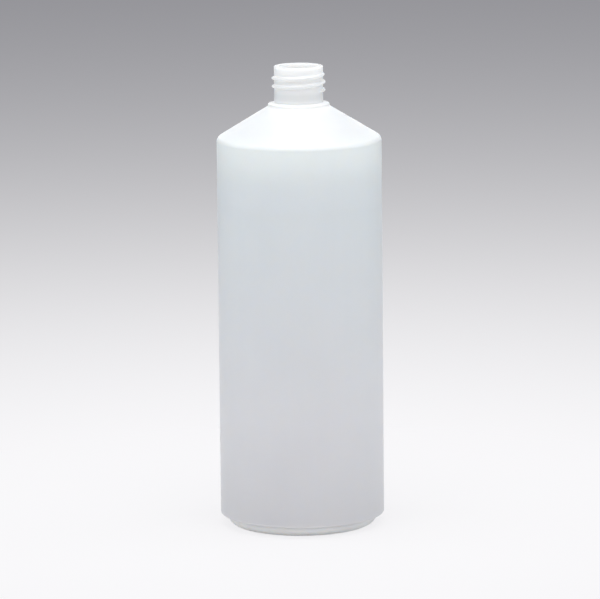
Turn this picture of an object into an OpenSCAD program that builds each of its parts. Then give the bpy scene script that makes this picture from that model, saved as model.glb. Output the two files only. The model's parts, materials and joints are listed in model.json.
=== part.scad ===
// Round one litre bottle, blown in one piece, with an open screw neck.
// Millimetres, +Z up. The origin is the middle of the circle that it stands on.

/* [Body] */
// Outside diameter of the straight body
body_d = 84; // [70:0.5:100]
// Height of the straight body, from the foot step to the shoulder corner
body_h = 194.5; // [120:0.5:260]
// Wall thickness of the body, the shoulder and the foot
body_wall = 0.9; // [0.6:0.05:1.3]
// Rounding of the body's lower corner, above the foot step
heel_round = 0.5; // [0.3:0.1:1.2]

/* [Foot] */
// How far the foot is set in from the body all round
foot_inset = 3.6; // [2.6:0.1:6]
// Height of the foot, from the standing ring to the step
foot_h = 5.7; // [4.5:0.1:12]
// Rounding of the foot's lower edge
foot_round = 4.8; // [2.5:0.1:6]
// Rounding of the hollow corner between the foot and the step
step_round = 0.6; // [0.3:0.1:1]
// Width of the flat ring that the bottle stands on
ring_w = 2.2; // [1:0.1:4]
// Height of the domed push-up at the middle of the base
push_up = 4.6; // [3:0.1:7]
// Wall thickness of the base
base_wall = 1.2; // [0.8:0.05:1.8]

/* [Base weld] */
// Width of the weld ridge that the mould pinches across the base
weld_w = 1.2; // [0.8:0.1:2]
// How far the weld ridge stands below the dome
weld_h = 0.5; // [0.2:0.05:0.8]
// Distance from each end of the weld ridge to the standing ring
weld_end_gap = 8; // [5:0.5:14]

/* [Shoulder] */
// Height of the sloping shoulder, from the body to the collar
shoulder_h = 16.1; // [8:0.1:26]
// Rounding of the corner between the body and the shoulder
shoulder_round = 3.1; // [2:0.1:6]

/* [Collar] */
// How far the collar stands out from the neck all round
collar_w = 3.2; // [2:0.1:4.5]
// Height of the collar's upright edge
collar_h = 1.35; // [1:0.05:3]
// Rise of the collar's top from its edge to the neck
collar_rise = 0.65; // [0.2:0.05:1]
// Rounding of the collar's upper edge
collar_round = 0.6; // [0.2:0.05:0.9]
// Rounding of the hollow corner between the collar and the shoulder
collar_hollow_round = 0.9; // [0.2:0.05:1.4]
// Rounding of the hollow corner between the collar and the neck
neck_foot_round = 0.4; // [0.2:0.05:0.8]

/* [Neck] */
// Outside diameter of the neck, under the thread
neck_d = 24.9; // [23:0.1:30]
// Height of the neck, from the collar to the sealing face
neck_h = 18.5; // [15:0.1:24]
// Diameter of the bore through the neck
bore_d = 19.6; // [15:0.1:20.4]
// Rounding of the two edges of the sealing face
lip_round = 0.6; // [0.3:0.1:0.9]
// Rounding inside, where the bore opens into the shoulder
throat_round = 4; // [2:0.1:6]

/* [Thread] */
// How far the crest of the thread stands out from the neck
thread_depth = 1.25; // [0.8:0.05:1.6]
// Rise of the thread in one turn
thread_pitch = 4.2; // [3:0.05:4.8]
// Turns of the thread, with its faded ends
thread_turns = 2.2; // [1.2:0.1:2.6]
// Distance from the sealing face down to the middle of the thread's upper end
thread_drop = 3.8; // [2.6:0.1:4.4]
// Rounding of the thread's crest
crest_round = 0.6; // [0.4:0.05:0.7]
// Slope of each flank of the thread, in degrees from square to the neck
flank_a = 30; // [15:1:35]
// Angle of the thread's lower end, in degrees from +X
thread_start_a = -45; // [-180:5:180]
// Angle over which each end of the thread fades into the neck, in degrees
thread_fade_a = 45; // [20:5:90]

/* [Hidden] */

// Fineness: sides of a full turn, and degrees in one step of a rounded corner
$fn = 180;
corner_step_a = 9;
dome_steps = 8;
thread_step_a = 10;
crest_steps = 4;

plastic_colour = [0.9, 0.92, 0.94];

// Radii
body_r = body_d / 2;
inner_r = body_r - body_wall;
foot_r = body_r - foot_inset;
foot_inner_r = foot_r - body_wall;
neck_r = neck_d / 2;
bore_r = bore_d / 2;
collar_r = neck_r + collar_w;

// Heights
shoulder_z = foot_h + body_h;
shoulder_top_z = shoulder_z + shoulder_h;
collar_z = shoulder_top_z + collar_h;
neck_z = collar_z + collar_rise;
top_z = neck_z + neck_h;

// Foot corners, kept inside the height that the foot has for them
corner_flat = 0.2;
foot_edge = min(foot_round, foot_h - step_round - corner_flat);
step_inner_round = step_round + body_wall;
step_inner_z = foot_h + body_wall;
foot_inner_room = step_inner_z - base_wall - step_inner_round - corner_flat;
foot_inner_round = min(foot_edge - body_wall, foot_inner_room);
heel_inner_round = 0.3;

// Collar corners, each kept to its share of the collar's height
collar_edge_share = 0.45;
collar_hollow_share = 0.7;
collar_edge = min(collar_round, collar_edge_share * collar_h);
collar_hollow = min(collar_hollow_round, collar_hollow_share * collar_h);

// Domed base, a part of a ball that the inside follows at the base's thickness
ring_inner_r = foot_r - foot_edge - ring_w;
dome_ball_r = (ring_inner_r * ring_inner_r + push_up * push_up) / (2 * push_up);
dome_centre_z = push_up - dome_ball_r;
dome_a = asin(ring_inner_r / dome_ball_r);
dome_inner_ball_r = dome_ball_r + base_wall;
dome_inner_a = acos(1 - push_up / dome_inner_ball_r);

// Shoulder's inside, a cone that lies the wall's thickness within the outer one
shoulder_a = atan2(shoulder_h, body_r - collar_r);
shoulder_drop = body_wall / cos(shoulder_a);
shoulder_inner_z = shoulder_z + (body_r - inner_r) * tan(shoulder_a) - shoulder_drop;
throat_z = shoulder_z + (body_r - bore_r) * tan(shoulder_a) - shoulder_drop;

// Thread: how far its root is sunk in the neck's wall, and where it starts
thread_root = (neck_r - bore_r) / 3;
thread_a = 360 * thread_turns;
thread_start_z = top_z - thread_drop - thread_pitch * thread_turns;
thread_rings = ceil(thread_a / thread_step_a);
thread_end_depth = 0.1;

function unit(v) = v / norm(v);

// Points of the corner at p, between its neighbours a and b, rounded to radius r
function corner(a, p, b, r) =
    let (
        u = unit(a - p),
        v = unit(b - p),
        half_a = acos(u * v) / 2,
        centre = p + unit(u + v) * r / sin(half_a),
        first = p + u * r / tan(half_a) - centre,
        first_a = atan2(first[1], first[0]),
        turn_a = (180 - 2 * half_a) * (cross(u, v) > 0 ? -1 : 1),
        steps = ceil(abs(turn_a) / corner_step_a)
    )
    [for (i = [0 : steps])
        let (t = first_a + turn_a * i / steps)
        centre + r * [cos(t), sin(t)]];

// An open line through corners [radius, height, rounding], with sharp ends
function rounded_line(corners) =
    let (
        last = len(corners) - 1,
        places = [for (c = corners) [c[0], c[1]]]
    )
    [for (i = [0 : last])
        each i == 0 || i == last || corners[i][2] == 0
            ? [places[i]]
            : corner(places[i - 1], places[i], places[i + 1], corners[i][2])];

// Points on the dome's ball, from the axis out to an angle
function dome(ball_r, end_a) =
    [for (i = [0 : dome_steps])
        let (t = end_a * i / dome_steps)
        [ball_r * sin(t), dome_centre_z + ball_r * cos(t)]];

function reversed(points) = [for (i = [len(points) - 1 : -1 : 0]) points[i]];

// Half section of the wall, up the outside, over the lip and down the inside
wall_section = concat(
    dome(dome_ball_r, dome_a),
    rounded_line([
        [foot_r - foot_edge, 0, 0],
        [foot_r, 0, foot_edge],
        [foot_r, foot_h, step_round],
        [body_r, foot_h, heel_round],
        [body_r, shoulder_z, shoulder_round],
        [collar_r, shoulder_top_z, collar_hollow],
        [collar_r, collar_z, collar_edge],
        [neck_r, neck_z, neck_foot_round],
        [neck_r, top_z, lip_round],
        [bore_r, top_z, lip_round],
        [bore_r, throat_z, throat_round],
        [inner_r, shoulder_inner_z, shoulder_round - body_wall],
        [inner_r, step_inner_z, heel_inner_round],
        [foot_inner_r, step_inner_z, step_inner_round],
        [foot_inner_r, base_wall, foot_inner_round],
        [dome_inner_ball_r * sin(dome_inner_a), base_wall, 0]
    ]),
    reversed([for (i = [0 : dome_steps - 1]) dome(dome_inner_ball_r, dome_inner_a)[i]])
);

// The weld ridge's half section hugs the dome and is rooted in the base's wall
weld_reach = ring_inner_r - weld_end_gap;
weld_ball_r = dome_ball_r - weld_h;
weld_root_ball_r = dome_ball_r + base_wall / 2;
weld_section = concat(
    dome(weld_ball_r, asin(weld_reach / weld_ball_r)),
    reversed(dome(weld_root_ball_r, asin(weld_reach / weld_root_ball_r)))
);

// Thread's section [out from the neck, along the axis] for a crest that stands
// out by depth: two sunk root points with the rounded crest between them
function thread_section(depth) =
    let (
        crest_a = 90 - flank_a,
        crest_centre = thread_depth - crest_round,
        squash = depth / thread_depth,
        foot_half = crest_round * sin(crest_a)
            + (crest_centre + crest_round * cos(crest_a) + thread_root) * tan(flank_a)
    )
    concat(
        [[-thread_root, -foot_half]],
        [for (i = [0 : crest_steps])
            let (t = crest_a * (2 * i / crest_steps - 1))
            [(crest_centre + crest_round * cos(t)) * squash, crest_round * sin(t)]],
        [[-thread_root, foot_half]]
    );

// Share of the full thread, from 0 at its ends to 1 past the fade
function thread_share(a) =
    let (t = min(1, a / thread_fade_a, (thread_a - a) / thread_fade_a))
    t * t * (3 - 2 * t);

// One ring of the thread at angle a, sunk into the neck where it fades
function thread_ring(a) =
    let (
        share = thread_share(a),
        turn = thread_start_a + a,
        lift = thread_start_z + thread_pitch * a / 360,
        sink = (1 - share) * thread_root / 2
    )
    [for (p = thread_section(max(thread_end_depth, thread_depth * share)))
        let (r = neck_r + p[0] - (p[0] < 0 ? 0 : sink))
        [r * cos(turn), r * sin(turn), lift + p[1]]];

module thread() {
    count = crest_steps + 3;
    last = thread_rings * count;
    polyhedron(
        points = [for (i = [0 : thread_rings])
            each thread_ring(thread_a * i / thread_rings)],
        faces = concat(
            [[for (j = [count - 1 : -1 : 0]) j]],
            [for (i = [0 : thread_rings - 1], j = [0 : count - 1])
                let (
                    low = i * count + j,
                    high = i * count + (j + 1) % count
                )
                each [[low, high, high + count], [low, high + count, low + count]]],
            [[for (j = [0 : count - 1]) last + j]]
        )
    );
}

module base_weld() {
    intersection() {
        rotate_extrude() polygon(weld_section);
        translate([-body_r, -weld_w / 2, 0]) cube([body_d, weld_w, push_up + base_wall]);
    }
}

module bottle() {
    color(plastic_colour) union() {
        rotate_extrude() polygon(wall_section);
        base_weld();
        thread();
    }
}

bottle();
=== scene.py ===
"""Models the looks of a round one litre bottle, blown in one piece, and a plain studio round it.

The bottle's wall is drawn as half a section, bevelled at its corners and spun. The weld under its base,
the mould's parting line and the screw thread are then worked into that one wall.
"""

import json
import math
from collections import namedtuple

import bmesh
import bpy
from mathutils import Matrix, Vector


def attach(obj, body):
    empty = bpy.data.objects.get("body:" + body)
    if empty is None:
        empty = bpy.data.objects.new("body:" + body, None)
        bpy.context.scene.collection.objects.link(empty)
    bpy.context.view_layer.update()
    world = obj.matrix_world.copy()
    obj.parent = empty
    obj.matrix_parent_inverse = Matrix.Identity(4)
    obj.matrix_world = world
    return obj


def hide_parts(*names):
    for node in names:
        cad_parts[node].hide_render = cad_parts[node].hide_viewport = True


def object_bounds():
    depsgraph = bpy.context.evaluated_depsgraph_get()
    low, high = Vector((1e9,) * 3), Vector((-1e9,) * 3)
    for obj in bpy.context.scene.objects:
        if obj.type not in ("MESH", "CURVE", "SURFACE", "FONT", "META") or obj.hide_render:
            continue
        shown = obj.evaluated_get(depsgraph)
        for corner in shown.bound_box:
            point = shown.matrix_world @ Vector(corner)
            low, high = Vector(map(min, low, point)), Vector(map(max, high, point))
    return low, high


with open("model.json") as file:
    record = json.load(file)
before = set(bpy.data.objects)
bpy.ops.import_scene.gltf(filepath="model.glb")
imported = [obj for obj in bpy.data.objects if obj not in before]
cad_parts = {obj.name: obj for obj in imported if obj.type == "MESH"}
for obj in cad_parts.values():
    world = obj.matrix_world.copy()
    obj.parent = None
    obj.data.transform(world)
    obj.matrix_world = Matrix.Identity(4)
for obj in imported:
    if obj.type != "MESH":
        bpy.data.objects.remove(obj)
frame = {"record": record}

bl_info = {
    "name": "Round Bottle",
    "version": (1, 0, 0),
    "blender": (4, 5, 0),
    "location": "View3D > Sidebar > Bottle",
    "description": "Models a blown one litre bottle with a screw neck, and a studio for it",
    "category": "Object",
}

MM = 0.001
CAD_LOW, CAD_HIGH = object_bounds()

# Sizes that the frame gives, and the thread's depth, which gives the neck under it
MOUNT_SIZES = {mount["name"]: mount["dims"] for mount in frame["record"]["mounts"]}
BODY_R = MOUNT_SIZES["body_grip"]["r_mm"] * MM
BORE_R = MOUNT_SIZES["neck_bore"]["r_mm"] * MM
CREST_R = MOUNT_SIZES["neck_thread"]["r_mm"] * MM
THREAD_DEPTH = 1.25 * MM
NECK_R = CREST_R - THREAD_DEPTH
HEIGHT = CAD_HIGH.z

# How finely round shapes are cut
SPIN_STEPS = 144
CORNER_STEP = math.radians(9)
DOME_STEPS = 10
THREAD_STEPS_A_TURN = 72

# Points nearer than this are one point
SAME = 1e-6

# Inside of the foot: the rounding of its upper corner, and what two corners leave between them
HEEL_INNER_ROUND = 0.3 * MM
CORNER_FLAT = 0.2 * MM

# How the weld's lower face narrows along X and across Y
WELD_TAPER = (0.97, 0.5, 1.0)

# A face of the dome's underside has a normal lower than this
DOWNWARD = -0.5

# A point on the wall's outside has a normal that leans away from the axis by more than this
OUTWARD = 0.3

# Share of the thread's root by which a faded end lies under the neck's surface
SUNK_SHARE = 0.25

# Edges up to this angle are shaded smooth
SMOOTH_ANGLE = math.radians(32)

# Levels up the outside, as shares of the height, each with the property that gives the colour there:
# the plastic's tint with painted light and shade, a lighter standing ring and foot, a darker body low
# down, a body growing lighter up to the shoulder, lighter hollows round the collar and a darker collar
# edge and top
MILK_AND_PAINTED_LIGHT_LEVELS = (
    (0.004, "milk_ring_painted_light"),
    (0.018, "milk_foot_painted_light"),
    (0.0235, "milk_low_painted_shade"),
    (0.25, "milk_middle"),
    (0.70, "milk_upper"),
    (0.80, "milk_high_painted_light"),
    (0.84, "milk_top_painted_light"),
    (0.865, "milk_shoulder_painted_light"),
    # Painted light in the hollows under and above the collar, painted shade on the collar's lit edge and
    # top
    (0.9145, "milk_hollow_painted_light"),
    (0.9175, "milk_collar_edge_painted_shade"),
    (0.9205, "milk_collar_top_painted_shade"),
    (0.9222, "milk_neck_foot_painted_light"),
    (0.931, "milk_neck_painted_shade"),
)

# Levels with the property that gives how far light spreads in the plastic there
SCATTER_LEVELS = (
    (0.018, "foot_scatter"),
    (0.0235, "scatter"),
    (0.76, "scatter"),
    (0.83, "top_scatter"),
    (0.86, "scatter"),
    (0.905, "scatter"),
    (0.911, "top_scatter"),
    (0.9155, "top_scatter"),
    (0.919, "scatter"),
    (0.94, "scatter"),
    (0.955, "neck_scatter"),
)

# Levels between which the neck comes to take its colour from the distance to the axis:
# painted light between the turns and in the bore, painted shade on the crests
THREAD_LEVELS = (0.94, 0.955)

# Levels between which the neck's colour becomes the lip's, a darker colour that paints shade on the lit
# lip
LIP_LEVELS = (0.9965, 0.999)

# Patterns in the plastic, in features to the metre:
# streaks drawn out along the axis, swells of the blown wall, and grain
STREAK_SCALES = (220.0, 220.0, 9.0)
SWELL_SCALE = 28.0
GRAIN_SCALE = 1600.0

# How many times each pattern is refined
STREAK_DETAIL = 3.0
SWELL_DETAIL = 1.0
GRAIN_DETAIL = 2.0

# Values of a pattern that stand for the least and the most of what it changes
PATTERN_RANGE = (0.3, 0.7)

# Share of the swells in the mottle, the rest being streaks
SWELL_SHARE = 0.75

# How far the roughness goes to each side of its mean, and how deep the swells and the grain are
SATIN_SPREAD = 0.05
SWELL_DEPTH = 0.06 * MM
GRAIN_DEPTH = 0.006 * MM

# Light in the plastic: how much it bends,
# and how far red, green and blue spread, as shares of the scatter
PLASTIC_IOR = 1.5
SCATTER_SHARES = (1.0, 0.9, 0.8)

# Spacing of the nodes in a shader tree
NODE_COLUMN = 280
NODE_ROW = 320

# Lamps, with places and sizes in metres and the properties that give their power and tint
Lamp = namedtuple("Lamp", "name place width depth power tint")
LAMPS = (
    Lamp("top_light", (0.0, -0.2, 0.95), 1.0, 0.8, "top_power", "lamp_tint"),
    Lamp("front_light", (0.0, -1.3, 0.7), 2.4, 1.2, "front_power", "lamp_tint"),
    Lamp("left_light", (-1.0, 0.18, 0.5), 0.4, 0.6, "side_power", "side_tint"),
    Lamp("right_light", (1.0, 0.18, 0.5), 0.4, 0.6, "side_power", "side_tint"),
    Lamp("back_light", (0.0, 1.2, 0.45), 1.2, 0.8, "back_power", "lamp_tint"),
)

# Floor's radius in metres and the sides of its circle
FLOOR_R = 20.0
FLOOR_SIDES = 96

# Camera: the point it looks at, its sensor's width in millimetres and how far it sees in metres
CAMERA_AIM = (-0.3 * MM, 0.0, 116.2 * MM)
SENSOR_WIDTH = 36.0
CAMERA_REACH = 50.0


def length(name, description, default):
    """A size in metres."""
    return bpy.props.FloatProperty(
        name=name, description=description, default=default, min=0.0, precision=5, unit="LENGTH"
    )


def angle(name, description, degrees):
    """An angle, given in degrees."""
    return bpy.props.FloatProperty(
        name=name, description=description, default=math.radians(degrees), subtype="ANGLE"
    )


def share(name, description, default):
    """A number from 0 to 1."""
    return bpy.props.FloatProperty(
        name=name, description=description, default=default, min=0.0, max=1.0, subtype="FACTOR"
    )


def number(name, description, default):
    """A plain number."""
    return bpy.props.FloatProperty(name=name, description=description, default=default)


def colour(name, description, default):
    """A colour as linear red, green and blue."""
    return bpy.props.FloatVectorProperty(
        name=name, description=description, default=default, size=3, min=0.0, max=1.0, subtype="COLOR"
    )


class BottleSizes(bpy.types.PropertyGroup):
    """Sizes of the blown wall, from the foot up to the lip."""

    height: length("Height", "From the standing ring to the sealing face", HEIGHT)
    body_radius: length("Body radius", "Outside of the straight body", BODY_R)
    wall: length("Wall", "Thickness of the body, shoulder and foot", 0.9 * MM)
    heel_round: length("Heel rounding", "Lower corner of the body", 0.5 * MM)
    foot_inset: length("Foot inset", "From the body in to the foot", 3.6 * MM)
    foot_height: length("Foot height", "From the standing ring to the step", 5.7 * MM)
    foot_round: length("Foot rounding", "Lower edge of the foot", 4.8 * MM)
    step_round: length("Step rounding", "Hollow corner above the foot", 0.6 * MM)
    ring_width: length("Ring width", "Flat ring that the bottle stands on", 2.2 * MM)
    push_up: length("Push-up", "Height of the dome under the base", 4.6 * MM)
    base_wall: length("Base wall", "Thickness of the base", 1.2 * MM)
    shoulder_height: length("Shoulder height", "From the body to the collar", 16.1 * MM)
    shoulder_round: length("Shoulder rounding", "Corner of body and shoulder", 3.1 * MM)
    collar_width: length("Collar width", "From the neck out to the collar's edge", 3.2 * MM)
    collar_height: length("Collar height", "Upright edge of the collar", 1.35 * MM)
    collar_rise: length("Collar rise", "From the collar's edge up to the neck", 0.65 * MM)
    collar_round: length("Collar rounding", "Upper edge of the collar", 0.6 * MM)
    collar_hollow: length("Collar hollow", "Hollow corner of collar and shoulder", 0.9 * MM)
    neck_foot_round: length("Neck foot rounding", "Hollow corner of collar and neck", 0.4 * MM)
    neck_height: length("Neck height", "From the collar to the sealing face", 18.5 * MM)
    bore_radius: length("Bore radius", "Way through the neck", BORE_R)
    lip_round: length("Lip rounding", "Both edges of the sealing face", 0.6 * MM)
    throat_round: length("Throat rounding", "Where the bore opens into the shoulder", 4 * MM)


class MouldSizes(bpy.types.PropertyGroup):
    """Sizes of what the mould leaves on the wall: thread, base weld and parting line."""

    crest_radius: length("Crest radius", "Outside of the thread", CREST_R)
    thread_depth: length("Thread depth", "From the neck out to the crest", THREAD_DEPTH)
    thread_pitch: length("Thread pitch", "Rise in one turn", 4.2 * MM)
    thread_turns: number("Thread turns", "With the faded ends", 2.2)
    thread_drop: length("Thread drop", "From the sealing face to the upper end", 3.8 * MM)
    crest_round: length("Crest rounding", "Round top of the thread", 0.6 * MM)
    flank_angle: angle("Flank angle", "From square to the neck", 30)
    thread_start: angle("Thread start", "Lower end, from +X", -45)
    thread_fade: length("Thread fade", "Length over which an end sinks into the neck", 10 * MM)
    thread_root: length("Thread root", "How deep the thread is rooted in the neck", 0.85 * MM)
    weld_width: length("Weld width", "Ridge that is pinched across the base", 1.2 * MM)
    weld_height: length("Weld height", "From the dome down to the ridge", 0.5 * MM)
    weld_end_gap: length("Weld end gap", "From the standing ring to the ridge", 8 * MM)
    parting_width: length("Parting width", "Line where the two mould halves meet", 0.5 * MM)
    parting_height: length("Parting height", "How far that line stands out", 0.05 * MM)


class PlasticLook(bpy.types.PropertyGroup):
    """Colours and finish of the undyed plastic. Most of the colours paint light and shade onto it."""

    # Painted light: the standing ring and the foot are lighter, where the floor leaves them in shade
    milk_ring_painted_light: colour("Ring milk", "Colour of the standing ring", (0.98, 0.98, 0.99))
    milk_foot_painted_light: colour("Foot milk", "Colour of the thick foot", (0.84, 0.842, 0.855))
    # Painted shade: the body is darker low down, just above the foot
    milk_low_painted_shade: colour("Lower milk", "Colour of the body just above the foot", (0.69, 0.677, 0.702))
    milk_middle: colour("Middle milk", "Colour of the body's lower middle", (0.825, 0.798, 0.832))
    milk_upper: colour("Upper milk", "Colour of the body's upper middle", (0.79, 0.835, 0.87))
    # Painted light: the body grows lighter from here up to the shoulder
    milk_high_painted_light: colour("High milk", "Colour of the body's upper part", (0.855, 0.93, 1.0))
    milk_top_painted_light: colour("Top milk", "Colour of the body under the shoulder", (0.86, 0.95, 0.99))
    milk_shoulder_painted_light: colour("Shoulder milk", "Colour of the shoulder", (0.90, 0.93, 0.965))
    # Painted light in the hollows under and above the collar, painted shade on the collar's lit edge and
    # top
    milk_hollow_painted_light: colour("Hollow milk", "Colour of the hollow under the collar", (0.96, 0.965, 0.975))
    milk_collar_edge_painted_shade: colour("Collar milk", "Colour of the collar's edge", (0.80, 0.81, 0.815))
    milk_collar_top_painted_shade: colour("Collar top milk", "Colour of the collar's top", (0.74, 0.75, 0.755))
    milk_neck_foot_painted_light: colour("Neck foot milk", "Colour of the hollow above the collar", (0.96, 0.965, 0.97))
    # Painted shade on the neck under the thread, on the crests and on the lip; painted light between the
    # turns and in the bore
    milk_neck_painted_shade: colour("Neck milk", "Colour of the neck under the thread", (0.755, 0.765, 0.775))
    milk_between_turns_painted_light: colour("Thread milk", "Colour of the neck between the turns", (0.96, 0.965, 0.975))
    milk_crest_painted_shade: colour("Crest milk", "Colour of the thread's crest", (0.70, 0.71, 0.72))
    milk_bore_painted_light: colour("Bore milk", "Colour inside the neck", (0.98, 0.99, 1.0))
    milk_lip_painted_shade: colour("Lip milk", "Colour of the lip round the mouth", (0.71, 0.715, 0.73))
    mottle: share("Mottle", "How much the milkiness varies from place to place", 0.012)
    roughness: share("Roughness", "Mean roughness of the satin surface", 0.42)
    scatter: length("Scatter", "How far light spreads in the thin wall", 2.5 * MM)
    foot_scatter: length("Foot scatter", "How far light spreads in the thick foot", 0.6 * MM)
    top_scatter: length("Top scatter", "How far light spreads under the shoulder", 1.1 * MM)
    neck_scatter: length("Neck scatter", "How far light spreads in the neck", 8 * MM)


class StageLook(bpy.types.PropertyGroup):
    """Camera, floor and light."""

    camera_distance: length("Camera distance", "From the camera to the point it looks at", 2.512)
    camera_rise: angle("Camera rise", "Above the level", 9.946)
    camera_roll: angle("Camera roll", "Lean of the picture", 0.545)
    lens: number("Lens", "Focal length in millimetres, on a 36 mm wide sensor", 294.36)
    paper: colour("Paper", "Floor round the bottle", (0.76, 0.76, 0.76))
    paper_reach: length("Paper reach", "Where the backdrop takes over from the paper", 0.25)
    paper_share: share("Paper share", "How much of the paper's own shading is seen by the foot", 0.2)
    # Painted light: the backdrop's pale pool round the bottle, greying far away, stands in for the lamps'
    # falloff
    backdrop_painted_pool: colour("Near backdrop", "Colour of the backdrop's pale pool", (0.965, 0.958, 0.975))
    backdrop_far: colour("Far backdrop", "Colour far from the bottle", (0.20, 0.199, 0.222))
    painted_pool_reach: length("Pool", "Reach of the backdrop's pale pool", 1.05)
    pool_edge: number("Pool edge", "How quickly the pool ends", 2.2)
    top_power: number("Top light", "Power of the lamp above, in watts", 6.8)
    front_power: number("Front light", "Power of the wide lamp in front, in watts", 6.8)
    side_power: number("Side lights", "Power of each lamp at the sides, in watts", 1.8)
    back_power: number("Back light", "Power of the lamp behind, in watts", 3.0)
    lamp_tint: colour("Lamp tint", "Light of the lamps above, in front and behind", (1.0, 1.0, 1.0))
    side_tint: colour("Side tint", "Light of the lamps at the sides", (0.85, 0.95, 1.0))
    ambient: number("Ambient", "Strength of the light from all round", 0.42)


# Edit mode


def start_piece(name):
    """Adds a small plane as a new object, in edit mode, merged to one point at the origin."""
    bpy.ops.object.select_all(action="DESELECT")
    bpy.ops.mesh.primitive_plane_add(size=MM, location=(0.0, 0.0, 0.0))
    piece = bpy.context.object
    piece.name = name
    piece.data.name = name
    bpy.ops.object.mode_set(mode="EDIT")
    bpy.ops.mesh.select_mode(type="VERT")
    bpy.ops.mesh.merge(type="CENTER")
    return piece


def draw_line(places):
    """Moves the selected point to the first place and extrudes it through the others."""
    bpy.ops.transform.translate(value=places[0])
    for here, there in zip(places, places[1:]):
        bpy.ops.mesh.extrude_region_move(TRANSFORM_OT_translate={"value": there - here})


def select(piece, kind, wanted):
    """Selects the VERT, EDGE or FACE elements for which wanted(element) is true."""
    bpy.ops.mesh.select_mode(type=kind)
    bpy.ops.mesh.select_all(action="DESELECT")
    mesh = bmesh.from_edit_mesh(piece.data)
    elements = {"VERT": mesh.verts, "EDGE": mesh.edges, "FACE": mesh.faces}
    for element in elements[kind]:
        element.select_set(wanted(element))
    if kind == "VERT":
        mesh.select_flush(True)
    bmesh.update_edit_mesh(piece.data)


def round_corner(piece, before, corner, after, radius):
    """Bevels the point at a corner of a line to an arc of that radius."""
    half = (before - corner).angle(after - corner) / 2
    select(piece, "VERT", lambda point: (point.co - corner).length < SAME)
    bpy.ops.mesh.bevel(
        offset=radius / math.tan(half),
        segments=max(2, math.ceil((math.pi - 2 * half) / CORNER_STEP)),
        affect="VERTICES",
    )


def clean_up():
    """Merges doubled points of the mesh in edit mode and turns all its faces outwards."""
    bpy.ops.mesh.select_all(action="SELECT")
    bpy.ops.mesh.remove_doubles(threshold=SAME)
    bpy.ops.mesh.normals_make_consistent(inside=False)


# The bottle


class BottlePlan:
    """Radii and heights that follow from the bottle's sizes."""

    def __init__(self, sizes, mould):
        self.body_r = sizes.body_radius
        self.inner_r = sizes.body_radius - sizes.wall
        self.foot_r = sizes.body_radius - sizes.foot_inset
        self.foot_inner_r = self.foot_r - sizes.wall
        self.ring_outer_r = self.foot_r - sizes.foot_round
        self.ring_inner_r = self.ring_outer_r - sizes.ring_width
        self.neck_r = mould.crest_radius - mould.thread_depth
        self.collar_r = self.neck_r + sizes.collar_width
        self.neck_z = sizes.height - sizes.neck_height
        self.collar_z = self.neck_z - sizes.collar_rise
        self.shoulder_top_z = self.collar_z - sizes.collar_height
        self.shoulder_z = self.shoulder_top_z - sizes.shoulder_height
        self.step_inner_z = sizes.foot_height + sizes.wall
        slope = math.atan2(sizes.shoulder_height, self.body_r - self.collar_r)
        drop = sizes.wall / math.cos(slope)
        self.shoulder_inner_z = self.shoulder_z + sizes.wall * math.tan(slope) - drop
        self.throat_z = self.shoulder_z + (self.body_r - sizes.bore_radius) * math.tan(slope) - drop
        self.dome_ball_r = (self.ring_inner_r**2 + sizes.push_up**2) / (2 * sizes.push_up)
        self.dome_centre_z = sizes.push_up - self.dome_ball_r
        self.thread_rise = mould.thread_pitch * mould.thread_turns
        self.thread_z = sizes.height - mould.thread_drop - self.thread_rise

    def dome(self, thickness, rim_z):
        """Points from the axis out to the height rim_z, that thickness above the dome's underside."""
        ball_r = self.dome_ball_r + thickness
        end = math.acos((rim_z - self.dome_centre_z) / ball_r)
        steps = [end * step / DOME_STEPS for step in range(DOME_STEPS + 1)]
        return [
            Vector((ball_r * math.sin(turn), 0.0, self.dome_centre_z + ball_r * math.cos(turn)))
            for turn in steps
        ]


def wall_corners(sizes, plan):
    """Half the wall's section as (radius, height, rounding), up the outside and down the inside."""
    step_inner_round = sizes.step_round + sizes.wall
    foot_inner_room = plan.step_inner_z - sizes.base_wall - step_inner_round - CORNER_FLAT
    foot_inner_round = min(sizes.foot_round - sizes.wall, foot_inner_room)
    return [
        (plan.ring_outer_r, 0.0, 0.0),
        (plan.foot_r, 0.0, sizes.foot_round),
        (plan.foot_r, sizes.foot_height, sizes.step_round),
        (plan.body_r, sizes.foot_height, sizes.heel_round),
        (plan.body_r, plan.shoulder_z, sizes.shoulder_round),
        (plan.collar_r, plan.shoulder_top_z, sizes.collar_hollow),
        (plan.collar_r, plan.collar_z, sizes.collar_round),
        (plan.neck_r, plan.neck_z, sizes.neck_foot_round),
        (plan.neck_r, sizes.height, sizes.lip_round),
        (sizes.bore_radius, sizes.height, sizes.lip_round),
        (sizes.bore_radius, plan.throat_z, sizes.throat_round),
        (plan.inner_r, plan.shoulder_inner_z, sizes.shoulder_round - sizes.wall),
        (plan.inner_r, plan.step_inner_z, HEEL_INNER_ROUND),
        (plan.foot_inner_r, plan.step_inner_z, step_inner_round),
        (plan.foot_inner_r, sizes.base_wall, foot_inner_round),
    ]


def spin_wall(sizes, plan):
    """The wall as a closed shell, in edit mode: half a section, rounded at its corners and spun."""
    wall = start_piece("bottle_wall")
    corners = wall_corners(sizes, plan)
    places = [Vector((radius, 0.0, height)) for radius, height, _ in corners]
    under = plan.dome(0.0, 0.0)
    above = plan.dome(sizes.base_wall, sizes.base_wall)
    draw_line(under + places + above[::-1])
    path = [under[-1]] + places + [above[-1]]
    for index, (_, _, rounding) in enumerate(corners, start=1):
        if rounding > 0.0:
            round_corner(wall, path[index - 1], path[index], path[index + 1], rounding)
    bpy.ops.mesh.select_all(action="SELECT")
    bpy.ops.mesh.spin(
        steps=SPIN_STEPS, angle=2 * math.pi, center=(0.0, 0.0, 0.0), axis=(0.0, 0.0, 1.0)
    )
    clean_up()
    return wall


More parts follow.
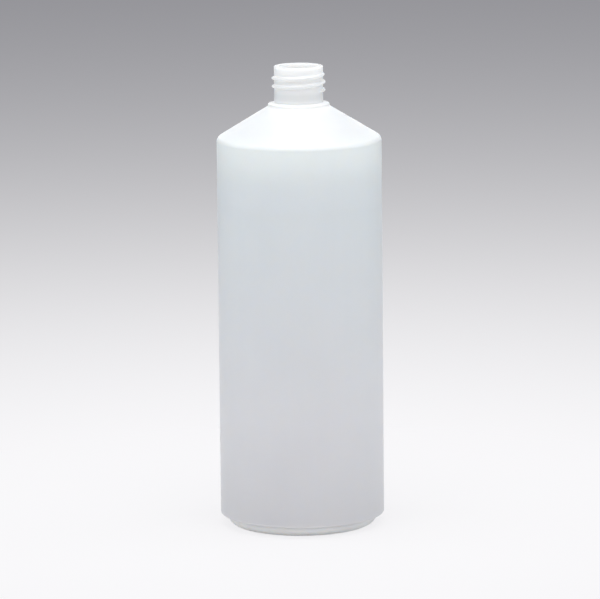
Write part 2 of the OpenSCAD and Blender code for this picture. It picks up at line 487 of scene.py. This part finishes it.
def raise_weld(wall, mould, plan):
    """Cuts a strip across the dome under the base and extrudes it down as the pinched weld."""
    half_width = mould.weld_width / 2
    reach = plan.ring_inner_r - mould.weld_end_gap

    def on_dome(face):
        centre = face.calc_center_median()
        return face.normal.z < DOWNWARD and centre.xy.length < plan.ring_inner_r

    def on_strip(face):
        centre = face.calc_center_median()
        return on_dome(face) and abs(centre.y) < half_width and abs(centre.x) < reach

    for place, normal in (
        ((0.0, half_width, 0.0), (0.0, 1.0, 0.0)),
        ((0.0, -half_width, 0.0), (0.0, 1.0, 0.0)),
        ((reach, 0.0, 0.0), (1.0, 0.0, 0.0)),
        ((-reach, 0.0, 0.0), (1.0, 0.0, 0.0)),
    ):
        select(wall, "FACE", on_dome)
        bpy.ops.mesh.bisect(plane_co=place, plane_no=normal)
    select(wall, "FACE", on_strip)
    bpy.ops.mesh.extrude_region_move(
        TRANSFORM_OT_translate={"value": (0.0, 0.0, -mould.weld_height)}
    )
    bpy.ops.transform.resize(value=WELD_TAPER, center_override=(0.0, 0.0, 0.0))


def raise_parting_line(wall, mould, plan):
    """Bevels the wall's outer edges on the mould's parting plane and lifts their middle a hair."""

    def on_line(point):
        outside = point.normal.x * math.copysign(1.0, point.co.x) > OUTWARD
        return outside and abs(point.co.y) < SAME and abs(point.co.x) > plan.neck_r - SAME

    select(wall, "EDGE", lambda edge: all(on_line(point) for point in edge.verts))
    bpy.ops.mesh.bevel(offset=mould.parting_width / 2, segments=2, affect="EDGES")
    select(wall, "VERT", on_line)
    bpy.ops.transform.shrink_fatten(value=mould.parting_height)


def thread_corners(mould, plan):
    """Corners of the thread's section at its lower end, from the lower root over the crest."""
    root_r = plan.neck_r - mould.thread_root
    slant = math.tan(mould.flank_angle)
    tip = mould.crest_round / math.cos(mould.flank_angle) - mould.crest_round * slant
    foot_half = tip + (mould.crest_radius - root_r) * slant
    out = Vector((math.cos(mould.thread_start), math.sin(mould.thread_start), 0.0))
    section = (
        (root_r, -foot_half),
        (mould.crest_radius, -tip),
        (mould.crest_radius, tip),
        (root_r, foot_half),
    )
    return [out * radius + Vector((0.0, 0.0, plan.thread_z + along)) for radius, along in section]


def sink_ends(thread, section_points, mould, plan):
    """Sinks the first and the last ring of the thread into the neck, with its rings fading to them."""
    last_ring = len(thread.data.vertices) - section_points
    sunk = (plan.neck_r - mould.thread_root * SUNK_SHARE) / mould.crest_radius
    for is_end in (
        lambda point: point.index < section_points,
        lambda point: point.index >= last_ring,
    ):
        select(thread, "VERT", is_end)
        bpy.ops.transform.resize(
            value=(sunk, sunk, 1.0),
            center_override=(0.0, 0.0, 0.0),
            use_proportional_edit=True,
            use_proportional_connected=True,
            proportional_edit_falloff="SMOOTH",
            proportional_size=mould.thread_fade,
        )


def wind_thread(mould, plan):
    """The thread as a closed solid: its section wound up the neck, with both ends sunk into it."""
    thread = start_piece("neck_thread")
    places = thread_corners(mould, plan)
    draw_line(places)
    bpy.ops.mesh.select_all(action="SELECT")
    bpy.ops.mesh.edge_face_add()
    bpy.ops.mesh.delete(type="ONLY_FACE")
    for before, corner, after in (places[0:3], places[1:4]):
        round_corner(thread, before, corner, after, mould.crest_round)
    bpy.ops.object.mode_set(mode="OBJECT")
    bpy.ops.object.shade_smooth()
    section_points = len(thread.data.vertices)
    helix = thread.modifiers.new("helix", "SCREW")
    helix.angle = 2 * math.pi * mould.thread_turns
    helix.screw_offset = plan.thread_rise
    helix.steps = round(THREAD_STEPS_A_TURN * mould.thread_turns)
    helix.render_steps = helix.steps
    bpy.ops.object.modifier_apply(modifier=helix.name)
    bpy.ops.object.mode_set(mode="EDIT")
    sink_ends(thread, section_points, mould, plan)
    bpy.ops.mesh.select_mode(type="EDGE")
    bpy.ops.mesh.select_all(action="DESELECT")
    bpy.ops.mesh.select_non_manifold()
    bpy.ops.mesh.fill_holes(sides=0)
    clean_up()
    bpy.ops.object.mode_set(mode="OBJECT")
    return thread


def join_solids(piece, other):
    """Unites another solid with a piece and removes the other one."""
    union = piece.modifiers.new("union", "BOOLEAN")
    union.operation = "UNION"
    union.solver = "EXACT"
    union.object = other
    bpy.ops.object.select_all(action="DESELECT")
    bpy.context.view_layer.objects.active = piece
    piece.select_set(True)
    bpy.ops.object.modifier_apply(modifier=union.name)
    bpy.data.objects.remove(other)


# Shader nodes


def start_tree(owner):
    """The emptied node tree of a material or a world."""
    owner.use_nodes = True
    owner.node_tree.nodes.clear()
    return owner.node_tree


def opaque(shade):
    """A colour with full alpha."""
    return (*shade, 1.0)


def add_node(tree, kind, column, row, feeds=(), **settings):
    """A node with its settings, whose named or numbered inputs are fed with outputs or plain values."""
    node = tree.nodes.new(kind)
    node.location = (column * NODE_COLUMN, -row * NODE_ROW)
    for name, value in settings.items():
        setattr(node, name, value)
    for name, source in dict(feeds).items():
        if isinstance(source, bpy.types.NodeSocket):
            tree.links.new(source, node.inputs[name])
        else:
            node.inputs[name].default_value = source
    return node


def add_math(tree, column, row, operation, first, second):
    """The result of an operation on two values."""
    node = add_node(tree, "ShaderNodeMath", column, row, {0: first, 1: second}, operation=operation)
    return node.outputs["Value"]


def add_noise(tree, column, row, place, scale, detail):
    """The values of a noise pattern."""
    feeds = {"Vector": place, "Scale": scale, "Detail": detail}
    return add_node(tree, "ShaderNodeTexNoise", column, row, feeds).outputs["Fac"]


def add_range(tree, column, row, value, given, wanted=(0.0, 1.0), **settings):
    """A value brought from a given range to a wanted one, and held at its ends."""
    feeds = {
        "Value": value,
        "From Min": given[0],
        "From Max": given[1],
        "To Min": wanted[0],
        "To Max": wanted[1],
    }
    return add_node(tree, "ShaderNodeMapRange", column, row, feeds, **settings).outputs["Result"]


def add_mix(tree, column, row, kind, factor, first, second):
    """A mix of two values of that kind, from the first at factor 0 to the second at 1."""
    feeds = {"Factor": factor, "A": first, "B": second}
    return add_node(tree, "ShaderNodeMix", column, row, feeds, data_type=kind).outputs["Result"]


def add_shader_mix(tree, column, row, factor, first, second):
    """A mix of two shaders, from the first at factor 0 to the second at 1."""
    feeds = {0: factor, 1: first, 2: second}
    return add_node(tree, "ShaderNodeMixShader", column, row, feeds).outputs["Shader"]


def add_ramp(tree, column, row, value, stops):
    """The colours of a ramp with stops as (position, colour), from low to high."""
    ramp = add_node(tree, "ShaderNodeValToRGB", column, row, {"Fac": value})
    elements = ramp.color_ramp.elements
    for element, (position, shade) in zip(elements, (stops[0], stops[-1])):
        element.position = position
        element.color = opaque(shade)
    for position, shade in stops[1:-1]:
        elements.new(position).color = opaque(shade)
    return ramp.outputs["Color"]


# The plastic


def milk_and_painted_light(tree, look, place, level):
    """Colours of the wall by its height, and on the threaded neck by the distance from the axis.

    Both paint light and shade onto the plastic.
    """
    by_height = add_ramp(
        tree, 3, 1, level, [(position, getattr(look, name)) for position, name in MILK_AND_PAINTED_LIGHT_LEVELS]
    )
    flat = add_node(
        tree, "ShaderNodeVectorMath", 1, 0, {0: place, 1: (1.0, 1.0, 0.0)}, operation="MULTIPLY"
    )
    out = add_node(
        tree, "ShaderNodeVectorMath", 2, 0, {0: flat.outputs["Vector"]}, operation="LENGTH"
    )
    reach = add_math(tree, 3, 0, "DIVIDE", out.outputs["Value"], CREST_R)
    # Painted light in the bore and between the turns, painted shade on the crests
    neck_stops = (
        (BORE_R / CREST_R, look.milk_bore_painted_light),
        (NECK_R / CREST_R, look.milk_between_turns_painted_light),
        (1.0, look.milk_crest_painted_shade),
    )
    by_reach = add_ramp(tree, 4, 0, reach, neck_stops)
    thread_share = add_range(tree, 4, 1, level, THREAD_LEVELS)
    wall = add_mix(tree, 5, 0, "RGBA", thread_share, by_height, by_reach)
    lip_share = add_range(tree, 5, 1, level, LIP_LEVELS)
    return add_mix(tree, 6, 0, "RGBA", lip_share, wall, opaque(look.milk_lip_painted_shade))


def mottled(tree, look, colours, streaks, swell):
    """Colours that vary a little with the drawn streaks and the swells."""
    cloud = add_mix(tree, 3, 3, "FLOAT", SWELL_SHARE, streaks, swell)
    shift = add_range(tree, 4, 3, cloud, PATTERN_RANGE, (1.0 - look.mottle, 1.0 + look.mottle))
    feeds = {"Vector": colours, "Scale": shift}
    return add_node(tree, "ShaderNodeVectorMath", 7, 0, feeds, operation="SCALE").outputs["Vector"]


def light_spread(tree, look, level):
    """How far light spreads in the wall, by its height. The neck's is the longest."""
    longest = look.neck_scatter
    stops = [(position, [getattr(look, name) / longest] * 3) for position, name in SCATTER_LEVELS]
    return add_math(tree, 4, 2, "MULTIPLY", add_ramp(tree, 3, 2, level, stops), longest)


def uneven_normal(tree, swell, grain):
    """Normal of a wall with shallow swells and a fine grain."""
    swells = {"Strength": 1.0, "Distance": SWELL_DEPTH, "Height": swell}
    swollen = add_node(tree, "ShaderNodeBump", 4, 4, swells).outputs["Normal"]
    grains = {"Strength": 1.0, "Distance": GRAIN_DEPTH, "Height": grain, "Normal": swollen}
    return add_node(tree, "ShaderNodeBump", 5, 4, grains).outputs["Normal"]


def plastic_material(look):
    """Undyed polyethylene: milky, satin, with faint drawn streaks and a slightly uneven blown wall.

    Light and shade are painted into its colours, by height and on the neck.
    """
    material = bpy.data.materials.new("milky_polyethylene")
    tree = start_tree(material)
    place = add_node(tree, "ShaderNodeTexCoord", 0, 3).outputs["Object"]
    parts = add_node(tree, "ShaderNodeSeparateXYZ", 1, 1, {"Vector": place})
    level = add_math(tree, 2, 1, "DIVIDE", parts.outputs["Z"], HEIGHT)
    drawn = add_node(tree, "ShaderNodeMapping", 1, 3, {"Vector": place, "Scale": STREAK_SCALES})
    streaks = add_noise(tree, 2, 3, drawn.outputs["Vector"], 1.0, STREAK_DETAIL)
    swell = add_noise(tree, 2, 4, place, SWELL_SCALE, SWELL_DETAIL)
    grain = add_noise(tree, 2, 5, place, GRAIN_SCALE, GRAIN_DETAIL)
    colours = milk_and_painted_light(tree, look, place, level)
    satin = (look.roughness - SATIN_SPREAD, look.roughness + SATIN_SPREAD)
    surface = {
        "Base Color": mottled(tree, look, colours, streaks, swell),
        "Roughness": add_range(tree, 3, 5, grain, PATTERN_RANGE, satin),
        "IOR": PLASTIC_IOR,
        "Normal": uneven_normal(tree, swell, grain),
        "Subsurface Weight": 1.0,
        "Subsurface Radius": SCATTER_SHARES,
        "Subsurface Scale": light_spread(tree, look, level),
    }
    shader = add_node(tree, "ShaderNodeBsdfPrincipled", 8, 1, surface)
    add_node(tree, "ShaderNodeOutputMaterial", 9, 1, {"Surface": shader.outputs["BSDF"]})
    return material


# The studio


def seen_directly(tree, column, row):
    """Output that is 1 where the camera sees a thing, also by a reflection or through clear plastic."""
    rays = add_node(tree, "ShaderNodeLightPath", column, row).outputs
    mirrored = add_math(
        tree, column + 1, row, "MAXIMUM", rays["Is Camera Ray"], rays["Is Glossy Ray"]
    )
    return add_math(tree, column + 2, row, "MAXIMUM", mirrored, rays["Is Transmission Ray"])


def backdrop_shader(tree, look, reach):
    """A backdrop with a painted pool of light round the bottle, which greys with distance."""
    pools = add_math(tree, 2, 2, "DIVIDE", reach, look.painted_pool_reach)
    edge = add_math(tree, 3, 2, "POWER", pools, look.pool_edge)
    spread = add_math(tree, 4, 2, "ADD", edge, 1.0)
    falloff = add_math(tree, 5, 2, "DIVIDE", 1.0, spread)
    shade = add_mix(
        tree, 6, 2, "RGBA", falloff, opaque(look.backdrop_far), opaque(look.backdrop_painted_pool)
    )
    return add_node(tree, "ShaderNodeEmission", 7, 2, {"Color": shade}).outputs["Emission"]


def floor_material(look):
    """Matt paper round the bottle, in the backdrop. Seen from below, it isn't there."""
    material = bpy.data.materials.new("studio_paper")
    tree = start_tree(material)
    place = add_node(tree, "ShaderNodeTexCoord", 0, 2).outputs["Object"]
    out = add_node(tree, "ShaderNodeVectorMath", 1, 2, {0: place}, operation="LENGTH")
    reach = out.outputs["Value"]
    backdrop = backdrop_shader(tree, look, reach)
    paper = add_node(tree, "ShaderNodeBsdfDiffuse", 7, 3, {"Color": opaque(look.paper)})
    near_to_far = (1.0 - look.paper_share, 1.0)
    away = add_range(
        tree, 2, 1, reach, (0.0, look.paper_reach), near_to_far, interpolation_type="SMOOTHSTEP"
    )
    far_seen = add_math(tree, 7, 1, "MULTIPLY", away, seen_directly(tree, 3, 0))
    ground = add_shader_mix(tree, 8, 2, far_seen, paper.outputs["BSDF"], backdrop)
    side = add_node(tree, "ShaderNodeNewGeometry", 8, 0)
    clear = add_node(tree, "ShaderNodeBsdfTransparent", 8, 3)
    either = add_shader_mix(
        tree, 9, 2, side.outputs["Backfacing"], ground, clear.outputs["BSDF"]
    )
    add_node(tree, "ShaderNodeOutputMaterial", 10, 2, {"Surface": either})
    return material


def studio_world(look):
    """Even light from all round, with the far floor's grey where the camera looks past the floor."""
    world = bpy.data.worlds.new("studio")
    tree = start_tree(world)
    light = add_node(tree, "ShaderNodeBackground", 2, 1, {"Strength": look.ambient})
    seen = add_node(tree, "ShaderNodeBackground", 2, 2, {"Color": opaque(look.backdrop_far)})
    directly = seen_directly(tree, 0, 0)
    either = add_shader_mix(
        tree, 3, 1, directly, light.outputs["Background"], seen.outputs["Background"]
    )
    add_node(tree, "ShaderNodeOutputWorld", 4, 1, {"Surface": either})
    return world


def lay_floor(look):
    """Lays the wide floor that the bottle stands on."""
    bpy.ops.object.select_all(action="DESELECT")
    bpy.ops.mesh.primitive_circle_add(vertices=FLOOR_SIDES, radius=FLOOR_R, fill_type="NGON")
    floor = bpy.context.object
    floor.name = "studio_floor"
    floor.data.materials.append(floor_material(look))


def hang_lamp(lamp, target, look):
    """Adds a soft rectangular lamp that faces a point."""
    bpy.ops.object.light_add(type="AREA", location=lamp.place)
    light = bpy.context.object
    light.name = lamp.name
    light.data.shape = "RECTANGLE"
    light.data.size = lamp.width
    light.data.size_y = lamp.depth
    light.data.energy = getattr(look, lamp.power)
    light.data.color = getattr(look, lamp.tint)
    light.visible_camera = False
    light.rotation_euler = (target - Vector(lamp.place)).to_track_quat("-Z", "Y").to_euler()


def place_camera(look):
    """Adds a camera where the photograph's stood, far away and a little above the bottle."""
    back = Vector((0.0, -math.cos(look.camera_rise), math.sin(look.camera_rise)))
    bpy.ops.object.camera_add(location=Vector(CAMERA_AIM) + back * look.camera_distance)
    camera = bpy.context.object
    camera.name = "photo_camera"
    camera.data.lens = look.lens
    camera.data.sensor_width = SENSOR_WIDTH
    camera.data.clip_end = CAMERA_REACH
    level = (-back).to_track_quat("-Z", "Y").to_matrix()
    camera.rotation_euler = (level @ Matrix.Rotation(-look.camera_roll, 3, "Z")).to_euler()
    return camera


# Operators and panel


class BOTTLE_OT_model_bottle(bpy.types.Operator):
    """Model the blown bottle in the CAD bottle's place"""

    bl_idname = "bottle.model_bottle"
    bl_label = "Model Bottle"
    bl_options = {"REGISTER", "UNDO"}

    def execute(self, context):
        sizes = context.scene.bottle_sizes
        mould = context.scene.mould_sizes
        plan = BottlePlan(sizes, mould)
        wall = spin_wall(sizes, plan)
        raise_weld(wall, mould, plan)
        raise_parting_line(wall, mould, plan)
        bpy.ops.object.mode_set(mode="OBJECT")
        join_solids(wall, wind_thread(mould, plan))
        bpy.ops.object.shade_smooth_by_angle(angle=SMOOTH_ANGLE)
        wall.data.materials.clear()
        wall.data.materials.append(plastic_material(context.scene.plastic_look))
        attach(wall, "root")
        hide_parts("bottle")
        return {"FINISHED"}


class BOTTLE_OT_set_stage(bpy.types.Operator):
    """Set the floor, the light and the camera round the bottle"""

    bl_idname = "bottle.set_stage"
    bl_label = "Set Stage"
    bl_options = {"REGISTER", "UNDO"}

    def execute(self, context):
        scene = context.scene
        look = scene.stage_look
        middle = Vector((0.0, 0.0, HEIGHT / 2))
        lay_floor(look)
        for lamp in LAMPS:
            hang_lamp(lamp, middle, look)
        scene.world = studio_world(look)
        scene.view_settings.view_transform = "Standard"
        scene.camera = place_camera(look)
        return {"FINISHED"}


class BOTTLE_PT_panel(bpy.types.Panel):
    """Sizes and looks of the bottle, and the buttons that make it"""

    bl_idname = "BOTTLE_PT_panel"
    bl_label = "Round Bottle"
    bl_space_type = "VIEW_3D"
    bl_region_type = "UI"
    bl_category = "Bottle"

    def draw(self, context):
        layout = self.layout
        for operator in OPERATORS:
            layout.operator(operator.bl_idname)
        for holder in GROUPS:
            group = getattr(context.scene, holder)
            box = layout.box()
            for name in group.__annotations__:
                box.prop(group, name)


GROUPS = {
    "bottle_sizes": BottleSizes,
    "mould_sizes": MouldSizes,
    "plastic_look": PlasticLook,
    "stage_look": StageLook,
}
OPERATORS = (BOTTLE_OT_model_bottle, BOTTLE_OT_set_stage)
CLASSES = (*GROUPS.values(), *OPERATORS, BOTTLE_PT_panel)


def register():
    for cls in CLASSES:
        bpy.utils.register_class(cls)
    for holder, group in GROUPS.items():
        setattr(bpy.types.Scene, holder, bpy.props.PointerProperty(type=group))


def unregister():
    for holder in GROUPS:
        delattr(bpy.types.Scene, holder)
    for cls in reversed(CLASSES):
        bpy.utils.unregister_class(cls)


def main():
    register()
    bpy.ops.bottle.model_bottle()
    bpy.ops.bottle.set_stage()


if __name__ == "__main__":
    main()
